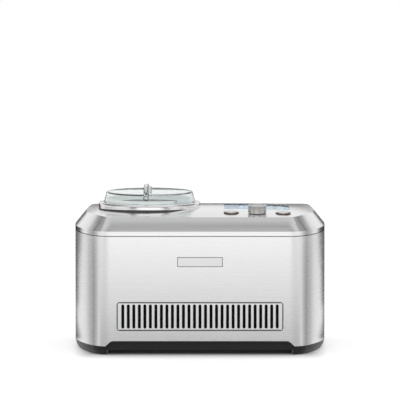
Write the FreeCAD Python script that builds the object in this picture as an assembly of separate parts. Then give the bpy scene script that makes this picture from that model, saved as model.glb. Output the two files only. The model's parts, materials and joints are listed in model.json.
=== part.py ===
import FreeCAD, Part
import math
import os

# Compressor ice cream maker in a steel housing. Millimetres, +Z up, front towards -Y.
# The origin is the middle of the footprint, on the surface that the maker stands on.

# Housing plan
body_width = 400.0
body_depth = 280.0
corner_radius = 36.0
end_radius = 260.0
rear_end_radius = 900.0

# Housing heights and walls
shell_bottom = 14.0
shell_wall = 1.2
seam_height = 188.5
seam_gap = 0.8
band_height = 7.2
bevel_inset = 17.5
bevel_height = 21.5
crown_rise = 8.0
crown_steps = 10
crown_overhang = 8.0
cover_wall = 2.4
skirt_gap = 0.4
skirt_wall = 2.2
skirt_depth = 10.0
boss_radius = 5.0
boss_end = 34.0
boss_y = 66.0

# Base
arch_rise = 8.6
arch_end_low = 50.0
arch_end_high = 59.0
arch_round = 10.0
arch_gap = 0.3
arch_lip = 2.4
arch_recess = 4.0
runner_bottom = 0.6
runner_knee_height = 6.0
runner_knee_inset = 1.6
runner_foot_inset = 5.0
runner_floor = 4.5
tray_bottom = 8.0
tray_floor = 3.0
tray_wall = 2.4
tray_gap = 0.4
tray_top = 31.0
pocket_end = 47.0
pad_radius = 10.0
pad_height = 3.0
pad_gap = 0.2
pad_end = 41.5
pad_side = 42.0

# Fasteners
screw_radius = 1.9
screw_head_radius = 3.6
screw_head_height = 2.0
screw_pilot_gap = 0.05
screw_hole_gap = 0.4
base_screw_length = 16.0

# Vent panels
grille_end = 68.5
grille_height = 45.0
grille_corner = 4.4
grille_centre_z = 61.7
grille_plate = 2.0
grille_setback = 0.5
grille_groove = 0.6
grille_flange = 5.0
grille_flange_plate = 1.2
slot_margin = 7.0
slot_pitch = 8.73
slot_width = 3.7
slot_height = 37.3
rear_slot_margin = 14.0
rear_end = 68.0
rear_width = 190.0

# Badge plate
badge_width = 72.0
badge_height = 15.4
badge_centre_z = 148.3
badge_depth = 0.6
badge_gap = 0.15

# Mains inlet
gland_end = 80.0
gland_z = 60.0
gland_outer = 9.0
gland_bore = 4.0
gland_flange_radius = 12.0
gland_flange = 2.0
gland_length = 20.0

# Churn
churn_end = 119.0
collar_inner = 68.0
collar_land = 74.5
collar_foot = 81.5
collar_lift = 6.2
collar_sleeve_wall = 3.2
collar_sleeve_depth = 20.0
collar_hole_gap = 0.6
collar_flare_bow = 2.1
collar_edge = 0.6
collar_lip_wall = 0.9
collar_lip_rise = 5.8
gasket_height = 2.0
well_inner = 64.5
well_wall = 2.0
well_depth = 92.0
well_flange_radius = 71.0
bowl_gap = 0.5
bowl_wall = 1.5
bowl_floor_gap = 0.3
bowl_rim_radius = 67.4
bowl_rim_height = 1.6
bowl_rim_drop = 2.0
post_inner = 8.0
post_wall = 1.5
post_seat_gap = 0.05
post_flange = 1.0
post_flange_radius = 13.0
post_drop = 44.2
jacket_gap = 0.3
jacket_wall = 1.2
jacket_channel = 3.0
jacket_turns = 6
jacket_lift = 6.0
jacket_pitch = 14.0
foam_outer = 92.0
foam_gap = 0.5

# Lid
lid_bottom_radius = 73.2
lid_top_radius = 69.0
lid_seat_gap = 0.3
lid_height = 16.4
lid_wall = 2.4
lid_plate = 2.6
lid_lip_gap = 0.4
lid_edge = 3.2
lid_dome = 1.6
spine_offset = 5.0
spine_width = 8.6
spine_rise = 11.1
spine_boss_radius = 4.3
spine_boss_drop = 5.2
spine_boss_reach = 72.0
spine_round = 3.6
flap_ledge = 5.0
flap_gap = 0.5
hinge_pin_radius = 1.0
hinge_barrel_radius = 1.8
hinge_running_gap = 0.05
hinge_offset = 2.6
hinge_lift = 0.3
flap_knuckle = 40.0
lid_knuckle = 50.0

# Paddle
paddle_gap = 0.9
paddle_hub_wall = 2.4
paddle_reach = 61.5
paddle_blade = 3.4
paddle_rail = 9.0
paddle_bottom_gap = 2.0
paddle_drop = 24.2
paddle_cap = 3.0
drive_hex = 10.0
hex_gap = 0.15
hex_length = 16.0

# Drive
shaft_radius = 6.0
running_gap = 0.05
gear_module = 2.0
gear_teeth = 45
pinion_teeth = 15
tooth_addendum = 0.8
tooth_dedendum = 1.2
tooth_root_share = 0.28
tooth_tip_share = 0.11
gear_bottom = 65.0
gear_width = 10.0
gear_hub_radius = 12.0
case_floor_bottom = 57.0
case_plate = 3.0
case_wall = 3.0
case_top = 84.0
case_tooth_gap = 4.0
case_screw_gap = 1.5
bush_radius = 9.0
bush_flange_radius = 11.5
bush_flange = 1.5
motor_radius = 28.0
motor_bottom = 18.0
motor_shaft_radius = 4.0
motor_edge = 4.0
motor_bore_depth = 20.0
motor_screw_length = 8.0
motor_screw_circle = 20.0
case_foot_radius = 6.0
case_leg_angles = (90, 180, 270)
seal_outer = 10.0
seal_height = 5.0
thrust_gap = 0.3

# Cooling
compressor_end = 96.0
compressor_y = 58.0
compressor_radius = 54.0
compressor_bottom = 23.0
compressor_height = 118.0
compressor_edge = 18.0
compressor_foot_plate = 3.0
compressor_foot_span = 46.0
compressor_foot_radius = 11.0
grommet_radius = 8.0
grommet_bore_gap = 0.4
bolt_radius = 3.0
bolt_head_radius = 5.5
bolt_head_height = 3.5
bolt_seat_depth = 2.0
fin_end = 52.0
fin_length = 90.0
fin_inset = 12.0
fin_depth = 34.0
fin_top = 112.0
fin_count = 30
fin_thickness = 1.0
tube_overhang = 12.0
tube_riser = 20.0
tube_bend = 8.5
row_count = 4
tube_radius = 4.0
tube_gap = 0.2
shroud_depth = 26.0
shroud_plate = 2.0
fan_z = 68.0
fan_radius = 38.0
fan_opening_gap = 2.0
fan_hub_radius = 14.0
fan_hub_depth = 14.0
fan_blades = 7
fan_blade_thickness = 1.6
fan_blade_root = 2.0
fan_back_gap = 2.0
fan_shaft_depth = 14.0
fan_blade_depth = 12.0
fan_pitch_angle = 35.0
fan_shaft_radius = 2.5
fan_motor_radius = 20.0
fan_motor_length = 22.0
fan_arm_width = 7.0
line_radius = 3.0
capillary_radius = 1.3
drier_radius = 9.0
drier_length = 62.0
drier_lead = 26.0
capillary_run = 20.0
capillary_height = 150.0
capillary_bend = 6.0
port_offset = 16.0
discharge_height = 178.0
suction_height = 168.0
suction_y = 14.0
line_gap = 0.3
line_bend = 12.0

# Controls
panel_end = 109.0
panel_front = 52.0
button_spread = 41.2
dial_radius = 15.0
dial_height = 13.0
dial_dish = 1.6
dial_rim = 2.2
dial_edge = 0.8
dial_gap = 0.4
dial_bore_depth = 8.0
encoder_shaft_radius = 3.0
encoder_body = 14.0
encoder_height = 7.0
control_bush_radius = 5.0
button_radius = 10.2
button_proud = 2.4
button_travel = 1.5
button_stem_radius = 4.0
button_stem_low = 8.0
button_skirt = 4.0
button_edge = 0.8
bezel_wall = 0.9
bezel_flange = 0.8
bezel_proud = 1.0
bezel_depth = 5.0
control_gap = 0.3
switch_size = 8.0
switch_height = 5.0
plunger_radius = 2.0
plunger_gap = 0.4
board_drop = 16.0
board_thickness = 1.6
board_width = 118.0
board_depth = 34.0
window_end = 57.0
window_collar_gap = 38.5
window_depth = 78.0
window_corner = 3.0
window_front = 131.0
window_gap = 0.3
window_ledge = 3.0
display_thickness = 6.0
power_board_length = 90.0
power_board_height = 60.0
power_board_x = -20.0
power_board_drop = 46.5
bracket_plate = 1.5
bracket_depth = 12.0
bracket_stud_radius = 3.0
bracket_stud_inset = 6.0

# Worked-out levels and centres
half_width = body_width / 2
half_depth = body_depth / 2
boss_x = half_width - boss_end
arch_half_low = half_width - arch_end_low
arch_half_high = half_width - arch_end_high
pocket_half_inner = half_width - pocket_end
pad_x = half_width - pad_end
pad_y = half_depth - pad_side
grille_width = body_width - 2 * grille_end
rear_centre_x = half_width - rear_end - rear_width / 2
gland_x = gland_end - half_width
churn_x = churn_end - half_width
spine_x = churn_x - spine_offset
compressor_x = half_width - compressor_end
fin_right = half_width - fin_end
fin_left = fin_right - fin_length
fin_front = fin_inset - half_depth
fan_x = (fin_left + fin_right) / 2
panel_x = half_width - panel_end
panel_y = panel_front - half_depth
window_left = churn_x + collar_foot + window_collar_gap
window_right = half_width - window_end
window_y = window_front - half_depth
corner_y = half_depth - corner_radius
power_board_z = seam_height - power_board_drop
band_bottom = seam_height + seam_gap
bevel_bottom = band_bottom + band_height
rim_height = bevel_bottom + bevel_height
crest = rim_height + crown_rise
rim_half_x = half_width - bevel_inset
rim_half_y = half_depth - bevel_inset
skirt_inset = shell_wall + skirt_gap
tray_inset = shell_wall + tray_gap
arch_top = shell_bottom + arch_rise
tray_floor_top = tray_bottom + tray_floor
collar_top = crest + collar_lift
sleeve_bottom = crest - collar_sleeve_depth
well_top = sleeve_bottom - gasket_height
well_floor_top = well_top - well_depth
jacket_bottom = well_floor_top + jacket_lift
bowl_top = collar_top - bowl_rim_drop
post_top = bowl_top - post_drop
paddle_top = bowl_top - paddle_drop
well_outer = well_inner + well_wall
bowl_outer = well_inner - bowl_gap
bowl_bottom = well_floor_top + bowl_floor_gap
bowl_floor_top = bowl_bottom + bowl_wall
post_outer = post_inner + post_wall
hub_inner = post_outer + paddle_gap
hub_outer = hub_inner + paddle_hub_wall
lid_bottom = collar_top + lid_seat_gap
lid_top = lid_bottom + lid_height
lid_lean = (lid_bottom_radius - lid_top_radius) / lid_height
lip_outer = collar_inner + collar_lip_wall
lip_room = lid_bottom_radius - lid_wall - lip_outer - lid_lip_gap
lip_rise = collar_lip_rise if lid_lean * collar_lip_rise < lip_room else lip_room / lid_lean
lip_top = lid_bottom + lip_rise
spine_top = lid_top + spine_rise
gear_radius = gear_module * gear_teeth / 2
pinion_radius = gear_module * pinion_teeth / 2
pinion_x = churn_x + gear_radius + pinion_radius
motor_top = case_floor_bottom
shaft_top = paddle_top - paddle_cap - running_gap
jacket_inner = well_outer + jacket_gap
jacket_outer = jacket_inner + jacket_wall
foam_bottom = case_top
grille_y = -half_depth + grille_setback
fin_back = fin_front + fin_depth
shroud_back = fin_back + shroud_depth

Vec = FreeCAD.Vector
along_y = Vec(0, 1, 0)
along_z = Vec(0, 0, 1)


# Plain shapes
def block(x0, x1, y0, y1, z0, z1):
    return Part.makeBox(x1 - x0, y1 - y0, z1 - z0, Vec(x0, y0, z0))


def rod(radius, start, end):
    run = end - start
    return Part.makeCylinder(radius, run.Length, start, run)


def post(radius, x, y, z0, z1):
    return rod(radius, Vec(x, y, z0), Vec(x, y, z1))


def ring(outer, inner, x, y, z0, z1):
    return post(outer, x, y, z0, z1).cut(post(inner, x, y, z0, z1))


def fused(shapes):
    first, rest = shapes[0], shapes[1:]
    if rest:
        first = first.fuse(rest)
    return first.removeSplitter()


def lines_along(shape, direction):
    return [edge for edge in shape.Edges if abs(edge.tangentAt(edge.FirstParameter).dot(direction)) > 0.5]


def edges_between(shape, low, high):
    return [edge for edge in shape.Edges if low < edge.CenterOfMass.z < high and edge.Closed]


def turned(profile, x, y):
    points = [Vec(x + r, y, z) for r, z in profile]
    face = Part.Face(Part.makePolygon(points + points[:1]))
    return face.revolve(Vec(x, y, 0), along_z, 360)


def prism_y(points, y0, y1):
    corners = [Vec(x, y0, z) for x, z in points]
    face = Part.Face(Part.makePolygon(corners + corners[:1]))
    return face.extrude(Vec(0, y1 - y0, 0))


def rounded_panel(width, height, corner, centre, y0, y1):
    left = centre.x - width / 2
    low = centre.z - height / 2
    panel = block(left, left + width, y0, y1, low, low + height)
    return panel.makeFillet(corner, lines_along(panel, along_y))


def bent_tube(points, radius, bend):
    edges = []
    start = points[0]
    for before, corner, after in zip(points, points[1:], points[2:]):
        back = (before - corner).normalize()
        ahead = (after - corner).normalize()
        half = math.acos(max(-1.0, min(1.0, back.dot(ahead)))) / 2
        trim = bend / math.tan(half)
        middle = (back + ahead).normalize() * (bend / math.sin(half) - bend)
        edges.append(Part.LineSegment(start, corner + back * trim).toShape())
        edges.append(Part.Arc(corner + back * trim, corner + middle, corner + ahead * trim).toShape())
        start = corner + ahead * trim
    edges.append(Part.LineSegment(start, points[-1]).toShape())
    path = Part.Wire(edges)
    section = Part.Wire(Part.makeCircle(radius, points[0], points[1] - points[0]))
    return path.makePipeShell([section], True, False)


# Housing outlines
def corner_centre(end):
    # how far along a corner's arc is centred, where it runs into an end of this radius
    return half_width - end + math.sqrt((end - corner_radius) ** 2 - corner_y ** 2)


def quarter_arcs(inset, end):
    # a corner and half an end, from the flat side to the middle of the end
    corner_x = corner_centre(end)
    end_x = half_width - end
    lean = math.atan2(corner_y, corner_x - end_x)
    corner = corner_radius - inset
    turns = (math.pi / 2, (math.pi / 2 + lean) / 2, lean)
    corner_arc = [(corner_x + corner * math.cos(turn), corner_y + corner * math.sin(turn)) for turn in turns]
    reach = end - inset
    end_arc = [(end_x + reach * math.cos(turn), reach * math.sin(turn)) for turn in (lean, lean / 2, 0)]
    return [corner_arc, end_arc]


def plan_wire(inset, z):
    front = quarter_arcs(inset, end_radius)
    rear = quarter_arcs(inset, rear_end_radius)
    runs = []
    for arcs, side_x, side_y in ((front, 1, -1), (rear, 1, 1), (rear, -1, 1), (front, -1, -1)):
        placed = [[Vec(side_x * x, side_y * y, z) for x, y in arc] for arc in arcs]
        outward = side_x * side_y < 0
        runs += placed if outward else [arc[::-1] for arc in reversed(placed)]
    bows = [Part.Arc(*run).toShape() for run in runs]
    half = len(runs) // 2
    back = Part.LineSegment(runs[half - 1][-1], runs[half][0]).toShape()
    closing = Part.LineSegment(runs[-1][-1], runs[0][0]).toShape()
    return Part.Wire(bows[:half] + [back] + bows[half:] + [closing])


def plan_prism(inset, z0, z1):
    return Part.Face(plan_wire(inset, z0)).extrude(Vec(0, 0, z1 - z0))


def plan_taper(inset0, z0, inset1, z1):
    return Part.makeLoft([plan_wire(inset0, z0), plan_wire(inset1, z1)], True, True)


# The top is crowned: highest along the middle, level along its rim
def crown_height(x, y):
    along = 1 - (x / rim_half_x) ** 4
    across = 1 - (y / rim_half_y) ** 2
    return rim_height + crown_rise * along * across


def crown_normal(x, y):
    along = 1 - (x / rim_half_x) ** 4
    across = 1 - (y / rim_half_y) ** 2
    slope_x = -crown_rise * across * 4 * x ** 3 / rim_half_x ** 4
    slope_y = -crown_rise * along * 2 * y / rim_half_y ** 2
    return Vec(-slope_x, -slope_y, 1).normalize()


def under_crown(drop):
    depth = crest - seam_height + skirt_depth
    rows = []
    for i in range(crown_steps + 1):
        x = (half_width + crown_overhang) * (2 * i / crown_steps - 1)
        row = []
        for j in range(crown_steps + 1):
            y = (half_depth + crown_overhang) * (2 * j / crown_steps - 1)
            row.append(Vec(x, y, crown_height(x, y) - drop - depth))
        rows.append(row)
    surface = Part.BSplineSurface()
    surface.interpolate(rows)
    return surface.toShape().extrude(Vec(0, 0, depth))


# Housing pieces
def arch_outline(shrink):
    low = arch_half_low - shrink
    high = arch_half_high - shrink
    right = [(high, arch_top - shrink), (low, shell_bottom - shrink), (low, 0)]
    return [(-x, z) for x, z in reversed(right)] + right


def arch_prism(shrink):
    opening = prism_y(arch_outline(shrink), -half_depth - crown_overhang, half_depth + crown_overhang)
    tops = [edge for edge in lines_along(opening, along_y) if edge.CenterOfMass.z > shell_bottom]
    return opening.makeFillet(arch_round - shrink, tops)


def corner_places(x, y):
    return [(sx * x, sy * y) for sx in (-1, 1) for sy in (-1, 1)]


def vent_hole(x, width):
    centre = Vec(x, 0, grille_centre_z)
    across = width + 2 * grille_groove
    high = grille_height + 2 * grille_groove
    corner = grille_corner + grille_groove
    return rounded_panel(across, high, corner, centre, -half_depth, -half_depth + shell_wall)


def slot_count(width, margin):
    return int((width - 2 * margin - slot_width) / slot_pitch) + 1


def facing_back(shape):
    return shape.mirror(Vec(0, 0, 0), along_y)


def vent_panel(x, width, count):
    centre = Vec(x, 0, grille_centre_z)
    inside = -half_depth + shell_wall
    plate = rounded_panel(width, grille_height, grille_corner, centre, grille_y, grille_y + grille_plate)
    across = width + 2 * grille_flange
    high = grille_height + 2 * grille_flange
    corner = grille_corner + grille_flange
    flange = rounded_panel(across, high, corner, centre, inside, inside + grille_flange_plate)
    radius = slot_width / 2
    straight = slot_height / 2 - radius
    back = max(grille_y + grille_plate, inside + grille_flange_plate)
    slots = []
    for i in range(count):
        slot_x = x + (i - (count - 1) / 2) * slot_pitch
        ends = (grille_centre_z - straight, grille_centre_z + straight)
        slots.append(block(slot_x - radius, slot_x + radius, grille_y, back, *ends))
        slots += [rod(radius, Vec(slot_x, grille_y, z), Vec(slot_x, back, z)) for z in ends]
    return fused([plate, flange]).cut(slots)


def rear_grille():
    return facing_back(vent_panel(rear_centre_x, rear_width, slot_count(rear_width, rear_slot_margin)))


def badge_plate():
    half = badge_width / 2
    low = badge_centre_z - badge_height / 2
    return block(-half, half, -half_depth, -half_depth + badge_depth, low, low + badge_height)


def badge_pocket():
    half = badge_width / 2 + badge_gap
    low = badge_centre_z - badge_height / 2 - badge_gap
    high = badge_centre_z + badge_height / 2 + badge_gap
    return block(-half, half, -half_depth, -half_depth + badge_depth, low, high)


def gland_seat(radius, y0, y1):
    return rod(radius, Vec(gland_x, y0, gland_z), Vec(gland_x, y1, gland_z))


def outer_shell():
    wrap = plan_prism(0, shell_bottom, seam_height).cut(plan_prism(shell_wall, shell_bottom, seam_height))
    openings = [
        arch_prism(0),
        vent_hole(0, grille_width),
        facing_back(vent_hole(rear_centre_x, rear_width)),
        badge_pocket(),
        gland_seat(gland_outer + screw_hole_gap, 0, half_depth),
    ]
    wrap = wrap.cut(openings)
    corner_x = corner_centre(end_radius)
    panels = [
        block(-corner_x, corner_x, -half_depth, 0, shell_bottom, seam_height),
        block(-corner_x, corner_x, 0, half_depth, shell_bottom, seam_height),
        block(-half_width, -corner_x, -half_depth, half_depth, shell_bottom, seam_height),
        block(corner_x, half_width, -half_depth, half_depth, shell_bottom, seam_height),
    ]
    return [wrap.common(panel) for panel in panels]


def cord_gland():
    inside = half_depth - shell_wall
    flange = gland_seat(gland_flange_radius, inside - gland_flange, inside)
    barrel = gland_seat(gland_outer, half_depth - gland_length, half_depth)
    return fused([flange, barrel]).cut(gland_seat(gland_bore, half_depth - gland_length, half_depth))


def cover_form(inset, drop):
    reach = bevel_height + crown_rise
    lean = bevel_inset / bevel_height
    band = plan_prism(inset, band_bottom, bevel_bottom)
    bevel = plan_taper(inset, bevel_bottom, inset + lean * reach, bevel_bottom + reach)
    return band.fuse(bevel).common(under_crown(drop))


def cover_bosses():
    low = runner_bottom + runner_floor
    high = crown_height(boss_x, boss_y) - cover_wall / 2
    return [post(boss_radius, x, y, low, high) for x, y in corner_places(boss_x, boss_y)]


def top_cover():
    skin = cover_form(0, 0).cut(cover_form(cover_wall, cover_wall))
    skirt_low = seam_height - skirt_depth
    skirt = plan_prism(skirt_inset, skirt_low, bevel_bottom)
    skirt = skirt.cut(plan_prism(skirt_inset + skirt_wall, skirt_low, bevel_bottom))
    body = fused([skin, skirt] + cover_bosses())
    low = runner_bottom + runner_floor
    pilots = [post(screw_radius + screw_pilot_gap, x, y, low, low + base_screw_length)
              for x, y in corner_places(boss_x, boss_y)]
    holes = [post(collar_inner + collar_sleeve_wall + collar_hole_gap, churn_x, 0, seam_height, collar_top)]
    return body.cut(pilots + holes + control_holes())


def base_tray():
    foot = plan_taper(runner_foot_inset, runner_bottom, runner_knee_inset, runner_knee_height)
    knee = plan_taper(runner_knee_inset, runner_knee_height, 0, shell_bottom)
    upstand = plan_prism(tray_inset, shell_bottom, tray_top)
    lip = plan_prism(0, shell_bottom, arch_top).common(arch_prism(arch_gap))
    tray = fused([foot, knee, upstand, lip])
    niche = arch_prism(arch_gap + arch_lip)
    core = half_depth - arch_recess
    niche = niche.cut(block(-half_width, half_width, -core, core, tray_bottom, arch_top))
    inside = plan_prism(arch_recess + tray_wall, tray_floor_top, tray_top)
    pocket_low = runner_bottom + runner_floor
    pockets = plan_prism(runner_foot_inset + tray_wall, pocket_low, tray_floor_top)
    bridge = block(-pocket_half_inner, pocket_half_inner, -half_depth, half_depth, pocket_low, tray_floor_top)
    holes = [niche, inside, pockets.cut(bridge)]
    for x, y in corner_places(boss_x, boss_y):
        holes.append(post(screw_radius + screw_hole_gap, x, y, runner_bottom, pocket_low))
        head_top = runner_bottom + screw_head_height + screw_hole_gap
        holes.append(post(screw_head_radius + screw_hole_gap, x, y, runner_bottom, head_top))
    for x, y in corner_places(pad_x, pad_y):
        holes.append(post(pad_radius + pad_gap, x, y, runner_bottom, pad_height))
    seat_low = tray_floor_top - bolt_seat_depth
    for x, y in compressor_feet():
        holes.append(post(bolt_radius + screw_pilot_gap, x, y, seat_low, tray_floor_top))
    return tray.cut(holes)


def rubber_feet():
    return [post(pad_radius, x, y, 0, pad_height) for x, y in corner_places(pad_x, pad_y)]


def screw(x, y, head_low, length):
    head_top = head_low + screw_head_height
    head = post(screw_head_radius, x, y, head_low, head_top)
    return fused([head, post(screw_radius, x, y, head_low, head_top + length)])


def base_screws():
    head_low = runner_bottom + screw_hole_gap
    return [screw(x, y, head_low, base_screw_length) for x, y in corner_places(boss_x, boss_y)]


# Churn pieces
def churn_ring(outer, inner, z0, z1):
    return ring(outer, inner, churn_x, 0, z0, z1)


def bowl_collar():
    foot_z = rim_height
    top = Vec(churn_x + collar_land, 0, collar_top)
    foot = Vec(churn_x + collar_foot, 0, crest + collar_edge)
    bow = (top + foot) * 0.5 + Vec(collar_flare_bow, 0, collar_flare_bow)
    sleeve = collar_inner + collar_sleeve_wall
    corners = [
        Vec(churn_x + collar_foot, 0, foot_z),
        Vec(churn_x + sleeve, 0, foot_z),
        Vec(churn_x + sleeve, 0, sleeve_bottom),
        Vec(churn_x + collar_inner, 0, sleeve_bottom),
        Vec(churn_x + collar_inner, 0, lip_top),
        Vec(churn_x + lip_outer, 0, lip_top),
        Vec(churn_x + lip_outer, 0, collar_top),
    ]
    flare = Part.Arc(top, bow, foot).toShape()
    outline = Part.Wire([flare] + Part.makePolygon([foot] + corners + [top]).Edges)
    turned_ring = Part.Face(outline).revolve(Vec(churn_x, 0, 0), along_z, 360)
    hole = post(sleeve + collar_hole_gap, churn_x, 0, sleeve_bottom, collar_top)
    return turned_ring.cut(under_crown(0).cut(hole))


def collar_gasket():
    return churn_ring(collar_inner + collar_sleeve_wall, well_inner, well_top, sleeve_bottom)


def cooling_well():
    floor_low = well_floor_top - well_wall
    profile = [
        (seal_outer, floor_low),
        (well_outer, floor_low),
        (well_outer, well_top - well_wall),
        (well_flange_radius, well_top - well_wall),
        (well_flange_radius, well_top),
        (well_inner, well_top),
        (well_inner, well_floor_top),
        (seal_outer, well_floor_top),
    ]
    return turned(profile, churn_x, 0)


def evaporator_jacket():
    high = jacket_bottom + jacket_turns * jacket_pitch
    sleeve = churn_ring(jacket_outer, jacket_inner, jacket_bottom, high)
    channels = []
    for turn in range(jacket_turns):
        z = jacket_bottom + (turn + 0.5) * jacket_pitch
        torus = Part.makeTorus(jacket_outer, jacket_channel, Vec(churn_x, 0, z), along_z)
        channels.append(torus.cut(post(jacket_inner, churn_x, 0, z - jacket_pitch, z + jacket_pitch)))
    return fused([sleeve] + channels)


def foam_insulation():
    bore = jacket_outer + jacket_channel + foam_gap
    floor_low = well_floor_top - well_wall
    top = well_top - well_wall
    profile = [
        (bush_flange_radius + foam_gap, foam_bottom),
        (foam_outer, foam_bottom),
        (foam_outer, top),
        (bore, top),
        (bore, floor_low),
        (bush_flange_radius + foam_gap, floor_low),
    ]
    return turned(profile, churn_x, 0)


def shaft_seal():
    low = well_floor_top - seal_height
    return churn_ring(seal_outer, shaft_radius + running_gap, low, well_floor_top)


def bowl():
    inner = bowl_outer - bowl_wall
    hole = post_outer + post_seat_gap
    profile = [
        (hole, bowl_bottom),
        (bowl_outer, bowl_bottom),
        (bowl_outer, bowl_top - bowl_rim_height),
        (bowl_rim_radius, bowl_top - bowl_rim_height),
        (bowl_rim_radius, bowl_top),
        (inner, bowl_top),
        (inner, bowl_floor_top),
        (hole, bowl_floor_top),
    ]
    return turned(profile, churn_x, 0)


def bowl_post():
    flange_top = bowl_floor_top + post_flange
    profile = [
        (post_inner, bowl_bottom),
        (post_outer, bowl_bottom),
        (post_outer, bowl_floor_top),
        (post_flange_radius, bowl_floor_top),
        (post_flange_radius, flange_top),
        (post_outer, flange_top),
        (post_outer, post_top),
        (post_inner, post_top),
    ]
    return turned(profile, churn_x, 0)


def hex_bar(across, z0, z1):
    corner = across / math.sqrt(3)
    angles = [math.radians(60 * i) for i in range(6)]
    points = [Vec(churn_x + corner * math.cos(a), corner * math.sin(a), z0) for a in angles]
    return Part.Face(Part.makePolygon(points + points[:1])).extrude(Vec(0, 0, z1 - z0))


def paddle():
    low = bowl_floor_top + paddle_bottom_gap
    socket_low = paddle_top - paddle_cap - hex_length
    socket_top = paddle_top - paddle_cap
    half = paddle_blade / 2
    arms = block(churn_x - paddle_reach, churn_x + paddle_reach, -half, half, low, socket_top)
    windows = []
    for side in (-1, 1):
        near = churn_x + side * (hub_outer + paddle_rail)
        away = churn_x + side * (paddle_reach - paddle_rail)
        ends = (min(near, away), max(near, away))
        windows.append(block(*ends, -half, half, low + paddle_rail, socket_top - paddle_rail))
    solid = fused([arms.cut(windows), post(hub_outer, churn_x, 0, low, paddle_top)])
    bore = post(hub_inner, churn_x, 0, low, socket_low)
    return solid.cut([bore, hex_bar(drive_hex + 2 * hex_gap, socket_low, socket_top)])


# Lid pieces
def lid_surface(radius):
    return lid_top + lid_dome * (1 - (radius / lid_top_radius) ** 2)


def dome_slab(radius, upper, lower):
    edges = []
    for drop in (upper, lower):
        spots = [Vec(churn_x + r, 0, lid_surface(r) - drop) for r in (0, radius / 2, radius)]
        edges.append(Part.Arc(*spots).toShape())
    edge_line = [Vec(churn_x + radius, 0, lid_surface(radius) - drop) for drop in (upper, lower)]
    axis_line = [Vec(churn_x, 0, lid_surface(0) - drop) for drop in (upper, lower)]
    edges += [Part.LineSegment(*line).toShape() for line in (edge_line, axis_line)]
    outline = Part.Wire(Part.__sortEdges__(edges))
    return Part.Face(outline).revolve(Vec(churn_x, 0, 0), along_z, 360)


def hinge_place():
    x = spine_x + spine_width / 2 + hinge_offset
    return Vec(x, 0, lid_surface(x - churn_x) + hinge_lift)


def hinge_rod(radius, y0, y1):
    place = hinge_place()
    return rod(radius, Vec(place.x, y0, place.z), Vec(place.x, y1, place.z))


def flap_zone(grow):
    left = hinge_place().x - hinge_barrel_radius - grow
    right = churn_x + lid_bottom_radius
    return block(left, right, -lid_bottom_radius, lid_bottom_radius, lid_bottom, spine_top)


def lid_spine():
    end = lid_top_radius - lid_wall / 2
    foot = lid_top - lid_plate
    left = spine_x - spine_width / 2
    ends = [Vec(left, -end, lid_top), Vec(left, 0, spine_top), Vec(left, end, lid_top)]
    arch = Part.Arc(*ends).toShape()
    legs = Part.makePolygon([ends[2], Vec(left, end, foot), Vec(left, -end, foot), ends[0]]).Edges
    bar = Part.Face(Part.Wire([arch] + legs)).extrude(Vec(spine_width, 0, 0))
    crests = [edge for edge in bar.Edges if edge.Curve.TypeId == "Part::GeomCircle"]
    return bar.makeFillet(spine_round, crests)


def spine_bosses():
    z = lid_top - spine_boss_drop
    inner = lid_top_radius - lid_wall
    return [rod(spine_boss_radius, Vec(spine_x, side * inner, z), Vec(spine_x, side * spine_boss_reach, z))
            for side in (-1, 1)]


def lid():
    wall = [
        (lid_bottom_radius - lid_wall, lid_bottom),
        (lid_bottom_radius, lid_bottom),
        (lid_top_radius, lid_top),
        (lid_top_radius - lid_wall, lid_top),
    ]
    recess = lid_top_radius - lid_wall - flap_gap
    shell = fused([turned(wall, churn_x, 0), dome_slab(lid_top_radius, 0, lid_plate)])
    shell = shell.makeFillet(lid_edge, edges_between(shell, lid_top - lid_seat_gap, lid_top + lid_seat_gap))
    opening = post(recess - flap_ledge, churn_x, 0, lid_bottom, spine_top).common(flap_zone(flap_gap))
    rebate = dome_slab(recess + flap_gap, -spine_boss_drop, lid_plate / 2 + lid_seat_gap)
    rebate = rebate.common(flap_zone(flap_gap))
    knuckles = [hinge_rod(hinge_barrel_radius, side * flap_knuckle, side * lid_knuckle) for side in (-1, 1)]
    feet = [knuckle.common(flap_zone(0)) for knuckle in knuckles]
    body = shell.cut([opening, rebate])
    ledges = []
    for side in (-1, 1):
        y = sorted([side * flap_knuckle, side * lid_knuckle])
        place = hinge_place()
        low = lid_top - lid_plate
        ledges.append(block(spine_x, place.x, y[0], y[1], low, place.z))
    body = fused([body, lid_spine()] + spine_bosses() + ledges + feet)
    return body.cut(hinge_rod(hinge_pin_radius + hinge_running_gap, -lid_knuckle, lid_knuckle))


def lid_flap():
    recess = lid_top_radius - lid_wall - flap_gap
    place = hinge_place()
    zone = flap_zone(-hinge_barrel_radius)
    plate = dome_slab(recess, 0, lid_plate / 2).common(zone)
    end = flap_knuckle - flap_gap
    room = hinge_barrel_radius + flap_gap
    clear = [hinge_rod(room, side * end, side * lid_bottom_radius) for side in (-1, 1)]
    slots = [block(place.x, place.x + room, *y, lid_bottom, spine_top)
             for y in ((-lid_bottom_radius, -end), (end, lid_bottom_radius))]
    barrel = hinge_rod(hinge_barrel_radius, -end, end)
    root = block(place.x, place.x + hinge_barrel_radius, -end, end, lid_surface(0) - lid_plate / 2, place.z)
    body = fused([plate.cut(clear + slots), barrel, root])
    return body.cut(hinge_rod(hinge_pin_radius + hinge_running_gap, -end, end))


def flap_hinge_pin():
    return hinge_rod(hinge_pin_radius, -lid_knuckle, lid_knuckle)


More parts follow.
